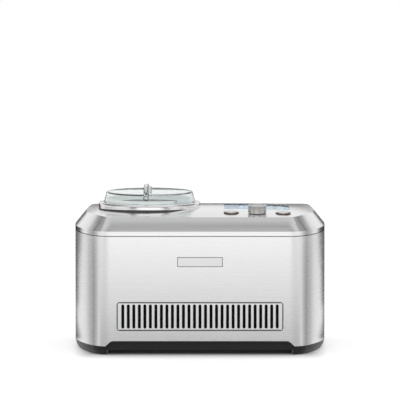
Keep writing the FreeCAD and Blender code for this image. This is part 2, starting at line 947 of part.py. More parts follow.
# Drive pieces
def toothed_wheel(teeth, x, phase, z0, z1):
    radius = gear_module * teeth / 2
    root = radius - tooth_dedendum * gear_module
    tip = radius + tooth_addendum * gear_module
    step = 2 * math.pi / teeth
    rise = [(root, -tooth_root_share), (tip, -tooth_tip_share)]
    fall = [(tip, tooth_tip_share), (root, tooth_root_share)]
    points = []
    for tooth in range(teeth):
        for r, share in rise + fall:
            angle = phase + (tooth + share) * step
            points.append(Vec(x + r * math.cos(angle), r * math.sin(angle), z0))
    return Part.Face(Part.makePolygon(points + points[:1])).extrude(Vec(0, 0, z1 - z0))


def drive_gear():
    wheel = toothed_wheel(gear_teeth, churn_x, 0, gear_bottom, gear_bottom + gear_width)
    low = case_floor_bottom + case_plate + bush_flange + thrust_gap
    hub = post(gear_hub_radius, churn_x, 0, low, case_top - case_plate - thrust_gap)
    return fused([wheel, hub]).cut(post(shaft_radius, churn_x, 0, low, case_top))


def output_shaft():
    shoulder = paddle_top - paddle_cap - hex_length
    return fused([post(shaft_radius, churn_x, 0, case_floor_bottom, shoulder),
                  hex_bar(drive_hex, shoulder, shaft_top)])


def motor_pinion():
    phase = math.pi + math.pi / pinion_teeth
    wheel = toothed_wheel(pinion_teeth, pinion_x, phase, gear_bottom, gear_bottom + gear_width)
    return wheel.cut(post(motor_shaft_radius, pinion_x, 0, gear_bottom, gear_bottom + gear_width))


def motor_shaft():
    return post(motor_shaft_radius, pinion_x, 0, motor_top - motor_bore_depth, gear_bottom + gear_width)


def case_outline(grow, z0, z1):
    gear_room = gear_radius + tooth_addendum * gear_module + case_tooth_gap + grow
    pinion_room = motor_screw_circle + screw_head_radius + case_screw_gap + grow
    return fused([post(gear_room, churn_x, 0, z0, z1), post(pinion_room, pinion_x, 0, z0, z1)])


def motor_screw_places():
    return [(pinion_x, side * motor_screw_circle) for side in (-1, 1)]


def gear_case_lower():
    floor_top = case_floor_bottom + case_plate
    wall_top = case_top - case_plate
    tub = case_outline(case_wall, case_floor_bottom, wall_top).cut(case_outline(0, floor_top, wall_top))
    legs = []
    for angle in case_leg_angles:
        x = churn_x + gear_radius * math.cos(math.radians(angle))
        y = gear_radius * math.sin(math.radians(angle))
        legs.append(post(case_foot_radius, x, y, tray_floor_top, case_floor_bottom))
    screw_hole = screw_radius + screw_hole_gap
    holes = [post(screw_hole, x, y, case_floor_bottom, floor_top) for x, y in motor_screw_places()]
    holes.append(post(bush_radius, churn_x, 0, case_floor_bottom, floor_top))
    holes.append(post(motor_shaft_radius + screw_hole_gap, pinion_x, 0, case_floor_bottom, floor_top))
    return fused([tub] + legs).cut(holes)


def gear_case_upper():
    low = case_top - case_plate
    return case_outline(case_wall, low, case_top).cut(post(bush_radius, churn_x, 0, low, case_top))


def shaft_bush(plate_low):
    plate_top = plate_low + case_plate
    sleeve = post(bush_radius, churn_x, 0, plate_low, plate_top)
    flange = post(bush_flange_radius, churn_x, 0, plate_top, plate_top + bush_flange)
    bore = post(shaft_radius + running_gap, churn_x, 0, plate_low, plate_top + bush_flange)
    return fused([sleeve, flange]).cut(bore)


def drive_motor():
    can = post(motor_radius, pinion_x, 0, motor_bottom, motor_top)
    can = can.makeFillet(motor_edge, edges_between(can, motor_bottom - motor_edge, motor_bottom + motor_edge))
    holes = [post(screw_radius + screw_pilot_gap, x, y, motor_top - motor_screw_length, motor_top)
             for x, y in motor_screw_places()]
    holes.append(post(motor_shaft_radius + running_gap, pinion_x, 0, motor_top - motor_bore_depth, motor_top))
    return can.cut(holes)


def motor_screws():
    seat = case_floor_bottom + case_plate
    screws = []
    for x, y in motor_screw_places():
        head = post(screw_head_radius, x, y, seat, seat + screw_head_height)
        screws.append(fused([head, post(screw_radius, x, y, motor_top - motor_screw_length, seat)]))
    return screws


# Cooling pieces
def compressor_feet():
    span = compressor_foot_span
    return [(compressor_x + sx * span, compressor_y + sy * span) for sx in (-1, 1) for sy in (-1, 1)]


def compressor():
    plate_top = compressor_bottom + compressor_foot_plate
    pot = post(compressor_radius, compressor_x, compressor_y, plate_top, plate_top + compressor_height)
    top = plate_top + compressor_height
    pot = pot.makeFillet(compressor_edge, edges_between(pot, top - compressor_edge, top + compressor_edge))
    half = compressor_foot_span + compressor_foot_radius
    plate = block(compressor_x - half, compressor_x + half, compressor_y - half, compressor_y + half,
                  compressor_bottom, plate_top)
    plate = plate.makeFillet(compressor_foot_radius, lines_along(plate, along_z))
    bore = bolt_radius + grommet_bore_gap
    holes = [post(bore, x, y, compressor_bottom, plate_top) for x, y in compressor_feet()]
    return fused([pot, plate]).cut(holes)


def compressor_grommets():
    return [ring(grommet_radius, bolt_radius + grommet_bore_gap, x, y, tray_floor_top, compressor_bottom)
            for x, y in compressor_feet()]


def compressor_bolts():
    seat = compressor_bottom + compressor_foot_plate
    bolts = []
    for x, y in compressor_feet():
        head = post(bolt_head_radius, x, y, seat, seat + bolt_head_height)
        bolts.append(fused([head, post(bolt_radius, x, y, tray_floor_top - bolt_seat_depth, seat)]))
    return bolts


def row_heights():
    pitch = (fin_top - tray_floor_top) / row_count
    return [tray_floor_top + (row + 0.5) * pitch for row in range(row_count)]


def tube_y():
    return fin_front + fin_depth / 2


def condenser_fins():
    fin = block(0, fin_thickness, fin_front, fin_back, tray_floor_top, fin_top)
    y = tube_y()
    bore = tube_radius + tube_gap
    fin = fin.cut([rod(bore, Vec(0, y, z), Vec(fin_thickness, y, z)) for z in row_heights()])
    fins = []
    for i in range(fin_count):
        x = fin_left + (fin_right - fin_left - fin_thickness) * i / (fin_count - 1)
        plate = fin.copy()
        plate.translate(Vec(x, 0, 0))
        fins.append(plate)
    return fins


def tube_end_x():
    return fin_left - tube_overhang


def condenser_tubes():
    rows = row_heights()[::-1]
    left = tube_end_x()
    right = fin_right + tube_overhang
    y = tube_y()
    points = [Vec(left, y, rows[0] + tube_riser)]
    for i, z in enumerate(rows):
        ends = (left, right) if i % 2 == 0 else (right, left)
        points += [Vec(ends[0], y, z), Vec(ends[1], y, z)]
    points.append(points[-1] + Vec(0, drier_lead, 0))
    return bent_tube(points, tube_radius, tube_bend)


def drier_start():
    return Vec(tube_end_x(), tube_y() + drier_lead, row_heights()[0])


def filter_drier():
    start = drier_start()
    return rod(drier_radius, start, start + along_y * drier_length)


def foam_side(y):
    return churn_x + math.sqrt(foam_outer ** 2 - y ** 2)


def capillary_tube():
    start = drier_start() + along_y * drier_length
    corner = start + along_y * capillary_run
    high = Vec(corner.x, corner.y, capillary_height)
    foam_x = foam_side(abs(corner.y) - capillary_radius)
    return bent_tube([start, corner, high, Vec(foam_x + line_gap, corner.y, capillary_height)],
                     capillary_radius, capillary_bend)


def compressor_top():
    return compressor_bottom + compressor_foot_plate + compressor_height


def discharge_line():
    x = compressor_x + port_offset
    y = compressor_y - port_offset
    low = Vec(tube_end_x(), tube_y(), row_heights()[-1] + tube_riser)
    points = [
        Vec(x, y, compressor_top()),
        Vec(x, y, discharge_height),
        Vec(x, tube_y(), discharge_height),
        Vec(low.x, low.y, discharge_height),
        low,
    ]
    return bent_tube(points, tube_radius, line_bend)


def suction_line():
    x = compressor_x - port_offset
    y = compressor_y - port_offset
    foam_x = foam_side(suction_y - line_radius)
    points = [
        Vec(foam_x + line_gap, suction_y, suction_height),
        Vec(x, suction_y, suction_height),
        Vec(x, y, suction_height),
        Vec(x, y, compressor_top()),
    ]
    return bent_tube(points, line_radius, line_bend)


def fan_rod(radius, y0, y1):
    return rod(radius, Vec(fan_x, y0, fan_z), Vec(fan_x, y1, fan_z))


def fan_shroud():
    plate_front = shroud_back - shroud_plate
    frame = block(fin_left, fin_right, fin_back, shroud_back, tray_floor_top, fin_top)
    inner = block(fin_left + shroud_plate, fin_right - shroud_plate, fin_back, plate_front,
                  tray_floor_top + shroud_plate, fin_top - shroud_plate)
    window = fan_rod(fan_radius + fan_opening_gap, plate_front, shroud_back)
    half = fan_arm_width / 2
    reach = fan_radius + fan_opening_gap
    spider = [
        block(fan_x - reach, fan_x + reach, plate_front, shroud_back, fan_z - half, fan_z + half),
        block(fan_x - half, fan_x + half, plate_front, shroud_back, fan_z - reach, fan_z + reach),
        fan_rod(fan_hub_radius, plate_front, shroud_back),
    ]
    bore = fan_rod(fan_shaft_radius + running_gap, plate_front, shroud_back)
    return fused([frame.cut([inner, window])] + spider).cut(bore)


def fan_blade():
    back = shroud_back - shroud_plate - fan_back_gap
    hub = fan_rod(fan_hub_radius, back - fan_hub_depth, back)
    middle = back - fan_hub_depth / 2
    tilted = []
    for i in range(fan_blades):
        half = fan_blade_depth / 2
        thin = fan_blade_thickness / 2
        blade = block(-half, half, -thin, thin, fan_hub_radius - fan_blade_root, fan_radius)
        blade.rotate(Vec(0, 0, 0), along_z, fan_pitch_angle)
        blade.rotate(Vec(0, 0, 0), along_y, 360 * i / fan_blades)
        blade.translate(Vec(fan_x, middle, fan_z))
        tilted.append(blade)
    spindle = fan_rod(fan_shaft_radius, back, shroud_back + fan_shaft_depth)
    return fused([hub, spindle] + tilted)


def fan_motor():
    body = fan_rod(fan_motor_radius, shroud_back, shroud_back + fan_motor_length)
    return body.cut(fan_rod(fan_shaft_radius + running_gap, shroud_back, shroud_back + fan_shaft_depth))


# Control pieces, drawn flat and then set on the sloping front of the crown
def on_panel(shape):
    middle = Vec(panel_x, panel_y, crown_height(panel_x, panel_y))
    slope = FreeCAD.Rotation(along_z, crown_normal(panel_x, panel_y))
    place = FreeCAD.Placement(middle, slope)
    moved = shape.copy()
    moved.Placement = place.multiply(shape.Placement)
    return moved


def button_places():
    return [-button_spread, button_spread]


def window_block(grow, z0, z1):
    half_y = window_depth / 2 + grow
    plate = block(window_left - grow, window_right + grow, window_y - half_y, window_y + half_y, z0, z1)
    return plate.makeFillet(window_corner + grow, lines_along(plate, along_z))


def sleeve_outer():
    return button_radius + control_gap + bezel_wall


def control_holes():
    reach = bezel_depth + cover_wall
    holes = [on_panel(post(control_bush_radius + control_gap, 0, 0, -reach, reach))]
    holes += [on_panel(post(sleeve_outer() + control_gap, x, 0, -reach, reach)) for x in button_places()]
    holes.append(window_block(window_gap, rim_height - reach, crest + reach))
    return holes


def button_bezels():
    rings = []
    for x in button_places():
        flange = post(sleeve_outer() + bezel_flange, x, 0, -bezel_flange, bezel_proud)
        sleeve = post(sleeve_outer(), x, 0, -bezel_depth, bezel_proud)
        bore = post(button_radius + control_gap, x, 0, -bezel_depth, bezel_proud)
        rings.append(on_panel(fused([flange, sleeve]).cut(bore)))
    skin = under_crown(0).cut(control_holes())
    return [bezel.cut(skin) for bezel in rings]


def push_button(x):
    cap = turned([
        (0, -button_skirt),
        (button_radius, -button_skirt),
        (button_radius, button_proud - button_edge),
        (button_radius - button_edge, button_proud),
        (0, button_proud),
    ], x, 0)
    stem = post(button_stem_radius, x, 0, -button_stem_low, 0)
    return on_panel(fused([cap, stem]))


def button_switches():
    switches = []
    half = switch_size / 2
    plunger_top = -button_stem_low - button_travel - plunger_gap
    for x in button_places():
        body = block(x - half, x + half, -half, half, -board_drop, -board_drop + switch_height)
        switches.append(on_panel(fused([body, post(plunger_radius, x, 0, -board_drop, plunger_top)])))
    return switches


def dial_knob():
    bore = encoder_shaft_radius + running_gap
    floor = dial_height - dial_dish
    profile = [
        (bore, dial_gap),
        (dial_radius, dial_gap),
        (dial_radius, dial_height - dial_edge),
        (dial_radius - dial_edge, dial_height),
        (dial_radius - dial_rim, dial_height),
        (dial_radius - dial_rim - dial_dish, floor),
        (0, floor),
        (0, dial_gap + dial_bore_depth),
        (bore, dial_gap + dial_bore_depth),
    ]
    return on_panel(turned(profile, 0, 0))


def dial_encoder():
    half = encoder_body / 2
    body = block(-half, half, -half, half, -board_drop, -board_drop + encoder_height)
    bush = post(control_bush_radius, 0, 0, -board_drop, 0)
    spindle = post(encoder_shaft_radius, 0, 0, -board_drop, dial_gap + dial_bore_depth - dial_gap / 2)
    return on_panel(fused([body, bush, spindle]))


def control_board():
    half_x = board_width / 2
    half_y = board_depth / 2
    return on_panel(block(-half_x, half_x, -half_y, half_y, -board_drop - board_thickness, -board_drop))


def lcd_window():
    return window_block(0, seam_height, crest).common(under_crown(0).cut(under_crown(cover_wall)))


def lcd_module():
    form = window_block(window_ledge, seam_height, crest)
    return form.common(under_crown(cover_wall).cut(under_crown(cover_wall + display_thickness)))


def power_board():
    y = half_depth - shell_wall - bracket_depth
    half_x = power_board_length / 2
    half_z = power_board_height / 2
    return block(power_board_x - half_x, power_board_x + half_x, y - board_thickness, y,
                 power_board_z - half_z, power_board_z + half_z)


def board_bracket():
    wall = half_depth - shell_wall
    half_x = power_board_length / 2
    half_z = power_board_height / 2
    plate = block(power_board_x - half_x, power_board_x + half_x, wall - bracket_plate, wall,
                  power_board_z - half_z, power_board_z + half_z)
    studs = []
    for sx in (-1, 1):
        for sz in (-1, 1):
            x = power_board_x + sx * (half_x - bracket_stud_inset)
            z = power_board_z + sz * (half_z - bracket_stud_inset)
            studs.append(rod(bracket_stud_radius, Vec(x, wall - bracket_depth, z), Vec(x, wall, z)))
    return fused([plate] + studs)


# Every piece, by the name of its file
def pieces():
    left_button, right_button = button_places()
    return {
        "outer_shell": outer_shell(),
        "front_grille": vent_panel(0, grille_width, slot_count(grille_width, slot_margin)),
        "rear_grille": rear_grille(),
        "badge_plate": badge_plate(),
        "cord_gland": cord_gland(),
        "top_cover": top_cover(),
        "base_tray": base_tray(),
        "rubber_feet": rubber_feet(),
        "base_screws": base_screws(),
        "bowl_collar": bowl_collar(),
        "collar_gasket": collar_gasket(),
        "cooling_well": cooling_well(),
        "evaporator_jacket": evaporator_jacket(),
        "foam_insulation": foam_insulation(),
        "shaft_seal": shaft_seal(),
        "bowl": bowl(),
        "bowl_post": bowl_post(),
        "paddle": paddle(),
        "lid": lid(),
        "lid_flap": lid_flap(),
        "flap_hinge_pin": flap_hinge_pin(),
        "drive_gear": drive_gear(),
        "output_shaft": output_shaft(),
        "motor_pinion": motor_pinion(),
        "motor_shaft": motor_shaft(),
        "gear_case_lower": gear_case_lower(),
        "gear_case_upper": gear_case_upper(),
        "lower_bush": shaft_bush(case_floor_bottom),
        "upper_bush": shaft_bush(case_top - case_plate),
        "drive_motor": drive_motor(),
        "motor_screws": motor_screws(),
        "compressor": compressor(),
        "compressor_grommets": compressor_grommets(),
        "compressor_bolts": compressor_bolts(),
        "condenser_fins": condenser_fins(),
        "condenser_tubes": condenser_tubes(),
        "filter_drier": filter_drier(),
        "capillary_tube": capillary_tube(),
        "discharge_line": discharge_line(),
        "suction_line": suction_line(),
        "fan_shroud": fan_shroud(),
        "fan_blade": fan_blade(),
        "fan_motor": fan_motor(),
        "dial_knob": dial_knob(),
        "dial_encoder": dial_encoder(),
        "power_button": push_button(left_button),
        "start_button": push_button(right_button),
        "button_bezels": button_bezels(),
        "button_switches": button_switches(),
        "control_board": control_board(),
        "lcd_window": lcd_window(),
        "lcd_module": lcd_module(),
        "power_board": power_board(),
        "board_bracket": board_bracket(),
    }


os.makedirs("parts", exist_ok=True)
for name, made in pieces().items():
    shape = Part.makeCompound(made) if isinstance(made, list) else made
    shape.exportStep("parts/" + name + ".step")
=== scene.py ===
import json
import math

import bmesh
import bpy
from mathutils import Matrix, Vector


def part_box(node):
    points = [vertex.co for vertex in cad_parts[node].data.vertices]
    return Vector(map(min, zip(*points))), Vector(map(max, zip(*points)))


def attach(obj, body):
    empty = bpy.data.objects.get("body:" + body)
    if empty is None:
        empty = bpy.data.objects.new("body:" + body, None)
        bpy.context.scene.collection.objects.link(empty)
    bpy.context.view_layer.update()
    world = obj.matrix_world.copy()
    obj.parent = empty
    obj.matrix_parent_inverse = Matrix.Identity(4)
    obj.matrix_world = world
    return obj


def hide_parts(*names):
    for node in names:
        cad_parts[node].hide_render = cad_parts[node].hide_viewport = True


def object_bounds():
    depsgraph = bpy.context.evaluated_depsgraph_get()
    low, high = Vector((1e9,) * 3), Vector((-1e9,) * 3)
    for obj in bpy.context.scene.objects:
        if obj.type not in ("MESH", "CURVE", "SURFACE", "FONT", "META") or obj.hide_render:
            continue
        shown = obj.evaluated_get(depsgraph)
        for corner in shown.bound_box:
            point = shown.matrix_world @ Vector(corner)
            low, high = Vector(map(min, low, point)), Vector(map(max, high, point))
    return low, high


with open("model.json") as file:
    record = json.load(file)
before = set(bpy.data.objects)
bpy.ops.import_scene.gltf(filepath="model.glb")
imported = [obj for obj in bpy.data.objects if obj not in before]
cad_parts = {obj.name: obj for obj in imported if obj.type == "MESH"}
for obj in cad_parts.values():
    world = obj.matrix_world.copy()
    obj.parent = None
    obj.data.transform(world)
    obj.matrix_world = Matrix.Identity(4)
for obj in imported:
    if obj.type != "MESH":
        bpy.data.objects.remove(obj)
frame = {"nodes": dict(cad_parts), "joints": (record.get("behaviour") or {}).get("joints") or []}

nodes = frame["nodes"]
joints = {joint["name"]: joint for joint in frame["joints"]}
cadLow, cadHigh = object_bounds()
scene = bpy.context.scene
scene.view_settings.view_transform = "Standard"
mm = 0.001
weld = 0.001 * mm          # points closer than this are one point
noiseRoughness = 0.55      # how strong the fine detail of a noise is
black = (0.0, 0.0, 0.0)
white = (1.0, 1.0, 1.0)


# Shader helpers
class Wire:
    # a socket that takes part in Python sums, each of which adds a Math node
    def __init__(self, tree, socket):
        self.tree = tree
        self.socket = socket

    def maths(self, operation, first, second=None):
        made = self.tree.nodes.new("ShaderNodeMath")
        made.operation = operation
        for slot, value in zip(made.inputs, (first, second)):
            if isinstance(value, Wire):
                self.tree.links.new(value.socket, slot)
            elif value is not None:
                slot.default_value = value
        return Wire(self.tree, made.outputs[0])

    def __add__(self, other):
        return self.maths("ADD", self, other)

    def __radd__(self, other):
        return self.maths("ADD", other, self)

    def __sub__(self, other):
        return self.maths("SUBTRACT", self, other)

    def __rsub__(self, other):
        return self.maths("SUBTRACT", other, self)

    def __mul__(self, other):
        return self.maths("MULTIPLY", self, other)

    def __rmul__(self, other):
        return self.maths("MULTIPLY", other, self)

    def __truediv__(self, other):
        return self.maths("DIVIDE", self, other)

    def __rtruediv__(self, other):
        return self.maths("DIVIDE", other, self)

    def __gt__(self, other):
        return self.maths("GREATER_THAN", self, other)

    def __lt__(self, other):
        return self.maths("LESS_THAN", self, other)

    def __abs__(self):
        return self.maths("ABSOLUTE", self)

    def upTo(self, other):
        return self.maths("MINIMUM", self, other)

    def atLeast(self, other):
        return self.maths("MAXIMUM", self, other)

    def root(self):
        return self.maths("SQRT", self)

    def fraction(self):
        return self.maths("FRACT", self)


class Web:
    # a node tree that is being wired up
    def __init__(self, tree):
        self.tree = tree
        tree.nodes.clear()

    def fill(self, slot, value):
        if isinstance(value, Wire):
            self.tree.links.new(value.socket, slot)
        elif isinstance(value, tuple) and slot.type == "RGBA":
            slot.default_value = (*value, 1)
        else:
            slot.default_value = value

    def node(self, kind, settings=None, sockets=None, out=0):
        made = self.tree.nodes.new(kind)
        for key, value in (settings or {}).items():
            setattr(made, key, value)
        for key, value in (sockets or {}).items():
            self.fill(made.inputs[key], value)
        return Wire(self.tree, made.outputs[out]) if made.outputs else made

    def place(self, scale=(1, 1, 1), shift=(0, 0, 0)):
        # Object coordinates, stretched and then shifted
        where = self.node("ShaderNodeTexCoord", out="Object")
        return self.node("ShaderNodeMapping", {"vector_type": "POINT"},
                         {"Vector": where, "Location": shift, "Scale": scale})

    def along(self, axis, place=None):
        at = place or self.place()
        return self.node("ShaderNodeSeparateXYZ", None, {"Vector": at}, out=axis)

    def noise(self, at, scale=1.0, detail=3.0):
        return self.node("ShaderNodeTexNoise", None,
                         {"Vector": at, "Scale": scale, "Detail": detail, "Roughness": noiseRoughness})

    def mix(self, share, first, second):
        return self.node("ShaderNodeMix", {"data_type": "RGBA"}, {0: share, 6: first, 7: second}, out=2)

    def shade(self, share, colour, tone):
        # from the darker to the lighter tone of a colour
        darker, lighter = (tuple(min(1.0, part * factor) for part in colour) for factor in tone)
        return self.mix(share, darker, lighter)

    def seen(self):
        # 1 for a ray from the camera or through something clear
        camera = self.node("ShaderNodeLightPath", out="Is Camera Ray")
        return camera.atLeast(self.node("ShaderNodeLightPath", out="Is Transmission Ray"))

    def mirrored(self):
        # 1 for a ray off a shiny surface that isn't seen straight
        return self.node("ShaderNodeLightPath", out="Is Glossy Ray") * (1 - self.seen())


class Finish(Web):
    # a material round one Principled shader
    def __init__(self, name, **shader):
        self.material = bpy.data.materials.new(name)
        self.material.use_nodes = True
        super().__init__(self.material.node_tree)
        surface = self.node("ShaderNodeBsdfPrincipled")
        self.shader = surface.socket.node
        self.node("ShaderNodeOutputMaterial", None, {"Surface": surface})
        for key, value in shader.items():
            self.feed(key, value)

    def feed(self, key, value):
        self.fill(self.shader.inputs[key], value)

    def bump(self, height, strength, distance=0.1 * mm):
        self.feed("Normal", self.node("ShaderNodeBump", None,
                                      {"Height": height, "Strength": strength, "Distance": distance}))


def swing(pattern, width):
    # a pattern of 0 to 1 as a change of up to half the width either way
    return (pattern - 0.5) * width


finishes = {}


def pieceMiddle(name):
    low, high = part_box(name)
    return (low + high) / 2


def addFinishes(recipe, looks):
    for name, look in looks.items():
        finishes[name] = recipe(name, look)


# Brushed sheet metal. Stretches are cells of grain to the metre on each axis, few along the brushing
brushLook = dict(fineShare=0.6, fineDetail=2.0, turn=0.25, gapRoughness=0.7)
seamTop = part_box("outer_shell")[1].z
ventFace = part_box("rear_grille")[1].y      # as far back as the front vent is forward
ventLook = dict(
    colour=(0.88, 0.88, 0.88), tone=(0.96, 1.03), roughness=0.32, swing=0.08, smudge=0.03,
    smudgeScale=14.0, fineStretch=(3, 3, 1700), broadStretch=(2, 2, 330), anisotropy=0.3, bump=0.02,
    # painted shade on the flange seen in the groove round the vent
    gap=dict(axis="Y", reach=ventFace - 0.65 * mm, colour=(0.02, 0.02, 0.02)))
brushedLooks = dict(
    brushedSteel=dict(
        colour=(0.90, 0.90, 0.902), tone=(0.96, 1.03), roughness=0.27, swing=0.10, smudge=0.04,
        smudgeScale=9.0, fineStretch=(3, 3, 1700), broadStretch=(2, 2, 330), anisotropy=0.0, bump=0.003),
    coverSteel=dict(
        colour=(0.90, 0.90, 0.902), tone=(0.88, 1.08), roughness=0.19, swing=0.08, smudge=0.04,
        smudgeScale=9.0, fineStretch=(3, 1500, 1500), broadStretch=(2, 170, 170), anisotropy=0.0, bump=0.01,
        # painted shade in the seam under the cover and along the band's lower edge
        gap=dict(axis="Z", reach=seamTop + 1.1 * mm, colour=(0.02, 0.02, 0.02))),
    ventSteel=dict(
        # painted shade along the groove round the vent plate
        ventLook, border=dict(piece="front_grille", inset=(6.4 * mm, 6.5 * mm), colour=(0.16, 0.16, 0.16)),
        # painted shade round each slot
        slots=dict(z=pieceMiddle("front_grille").z, pitch=8.73 * mm, straight=16.8 * mm,
                   radius=2.35 * mm, reach=126.0 * mm, colour=(0.01, 0.01, 0.01))),
    rearVentSteel=ventLook,
    badgeMetal=dict(
        colour=(0.84, 0.84, 0.85), tone=(0.95, 1.03), roughness=0.30, swing=0.10, smudge=0.03,
        smudgeScale=20.0, fineStretch=(4, 4, 2200), broadStretch=(2, 2, 500), anisotropy=0.4, bump=0.03,
        border=dict(piece="badge_plate", inset=(1.0 * mm, 1.0 * mm), colour=(0.16, 0.16, 0.165))),
    plateMetal=dict(
        colour=(0.70, 0.70, 0.71), tone=(0.95, 1.03), roughness=0.34, swing=0.10, smudge=0.05,
        smudgeScale=20.0, fineStretch=(4, 4, 2200), broadStretch=(2, 2, 500), anisotropy=0.0, bump=0.03),
)


def brushedMetal(name, look):
    made = Finish(name)
    fine = made.noise(made.place(look["fineStretch"]), detail=brushLook["fineDetail"])
    broad = made.noise(made.place(look["broadStretch"]))
    smudge = made.noise(made.place(), look["smudgeScale"])
    grain = fine * brushLook["fineShare"] + broad * (1 - brushLook["fineShare"])
    colour = made.shade(grain, look["colour"], look["tone"])
    rough = look["roughness"] + swing(grain, look["swing"]) + swing(smudge, look["smudge"])
    metallic = 1.0
    if "gap" in look:  # painted shade in a seam, and on the edge just beside it
        gap = look["gap"]
        seamShade = abs(made.along(gap["axis"])) < gap["reach"]
        colour = made.mix(seamShade, colour, gap["colour"])
        metallic = 1 - seamShade
        rough = rough.atLeast(seamShade * brushLook["gapRoughness"])
    if "border" in look:  # a dark line along a plate's edge: printed on the badge, painted shade of the groove round the front vent
        border = look["border"]
        middle = pieceMiddle(border["piece"])
        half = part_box(border["piece"])[1] - middle
        insetX, insetZ = border["inset"]
        across = abs(made.along("X") - middle.x) > half.x - insetX
        upward = abs(made.along("Z") - middle.z) > half.z - insetZ
        colour = made.mix(across.atLeast(upward), colour, border["colour"])
    if "slots" in look:  # painted shade round each slot, as a dark rim
        slots = look["slots"]
        x = made.along("X")
        # across is measured from the middle of the nearest slot
        across = swing((x / slots["pitch"] + 0.5).fraction(), slots["pitch"])
        upward = (abs(made.along("Z") - slots["z"]) - slots["straight"]).atLeast(0)
        slotShade = (across * across + upward * upward).root() < slots["radius"]
        colour = made.mix(slotShade * (abs(x) < slots["reach"]), colour, slots["colour"])
    made.feed("Base Color", colour)
    made.feed("Roughness", rough)
    made.feed("Metallic", metallic)
    made.feed("Anisotropic", look["anisotropy"])
    made.feed("Anisotropic Rotation", brushLook["turn"])
    made.bump(grain, look["bump"])
    return made.material


addFinishes(brushedMetal, brushedLooks)

# Turned, drawn or polished metal with faint stains
turnLook = dict(stainShare=0.6, stainDetail=4.0, turnDetail=2.0, liningRoughness=0.45, sealRoughness=0.6)
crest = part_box("top_cover")[1].z
smoothLooks = dict(
    polishedMetal=dict(
        colour=(0.86, 0.85, 0.85), tone=(0.97, 1.02), roughness=0.22, swing=0.04, stainScale=24.0,
        stretch=(40, 40, 1500), bump=0.01,
        # the bore's white lining, with a painted glow
        lining=dict(x=pieceMiddle("bowl_collar").x, radius=68.3 * mm, colour=(0.90, 0.91, 0.90), glow=0.25),
        # painted shade under the ring's front edge
        seat=dict(z=crest - 4.0 * mm, lean=0.042, colour=(0.06, 0.06, 0.06))),
    bowlAluminium=dict(
        colour=(0.78, 0.785, 0.79), tone=(0.93, 1.03), roughness=0.34, swing=0.08, stainScale=30.0,
        stretch=(30, 30, 1200), bump=0.04),
    pinSteel=dict(
        colour=(0.66, 0.66, 0.67), tone=(0.92, 1.04), roughness=0.28, swing=0.08, stainScale=60.0,
        stretch=(60, 60, 1500), bump=0.03),
    bushBronze=dict(
        colour=(0.60, 0.38, 0.20), tone=(0.85, 1.05), roughness=0.38, swing=0.10, stainScale=90.0,
        stretch=(60, 60, 900), bump=0.04),
    motorSteel=dict(
        colour=(0.42, 0.43, 0.44), tone=(0.9, 1.06), roughness=0.40, swing=0.10, stainScale=40.0,
        stretch=(30, 30, 700), bump=0.04),
    copper=dict(
        colour=(0.72, 0.40, 0.26), tone=(0.78, 1.06), roughness=0.32, swing=0.14, stainScale=45.0,
        stretch=(60, 60, 120), bump=0.04),
    dialMetal=dict(
        colour=(0.56, 0.56, 0.55), tone=(0.95, 1.04), roughness=0.30, swing=0.06, stainScale=60.0,
        stretch=(900, 900, 60), bump=0.04),
    buttonMetal=dict(
        colour=(0.70, 0.69, 0.68), tone=(0.96, 1.03), roughness=0.24, swing=0.06, stainScale=90.0,
        stretch=(60, 1800, 60), bump=0.03),
)


def smoothMetal(name, look):
    made = Finish(name)
    turning = made.noise(made.place(look["stretch"]), detail=turnLook["turnDetail"])
    stain = made.noise(made.place(), look["stainScale"], turnLook["stainDetail"])
    cloud = stain * turnLook["stainShare"] + turning * (1 - turnLook["stainShare"])
    colour = made.shade(cloud, look["colour"], look["tone"])
    rough = look["roughness"] + swing(turning, look["swing"]) + swing(stain, look["swing"])
    metallic = 1.0
    if "lining" in look:  # a ring's bore is white enamel, with a painted glow that brightens it
        lining = look["lining"]
        x = made.along("X") - lining["x"]
        y = made.along("Y")
        bore = (x * x + y * y).root() < lining["radius"]
        colour = made.mix(bore, colour, lining["colour"])
        metallic = 1 - bore
        rough = rough.atLeast(bore * turnLook["liningRoughness"])
        made.feed("Emission Color", made.mix(bore, black, lining["colour"]))
        made.feed("Emission Strength", lining["glow"])
    if "seat" in look:  # painted shade under a ring's front edge, as a black band, thinner towards its ends
        seat = look["seat"]
        seal = (made.along("Z") + made.along("Y") * seat["lean"] < seat["z"]) * metallic
        colour = made.mix(seal, colour, seat["colour"])
        metallic = metallic - seal
        rough = rough.atLeast(seal * turnLook["sealRoughness"])
    made.feed("Base Color", colour)
    made.feed("Roughness", rough)
    made.feed("Metallic", metallic)
    made.bump(turning, look["bump"])
    return made.material


addFinishes(smoothMetal, smoothLooks)

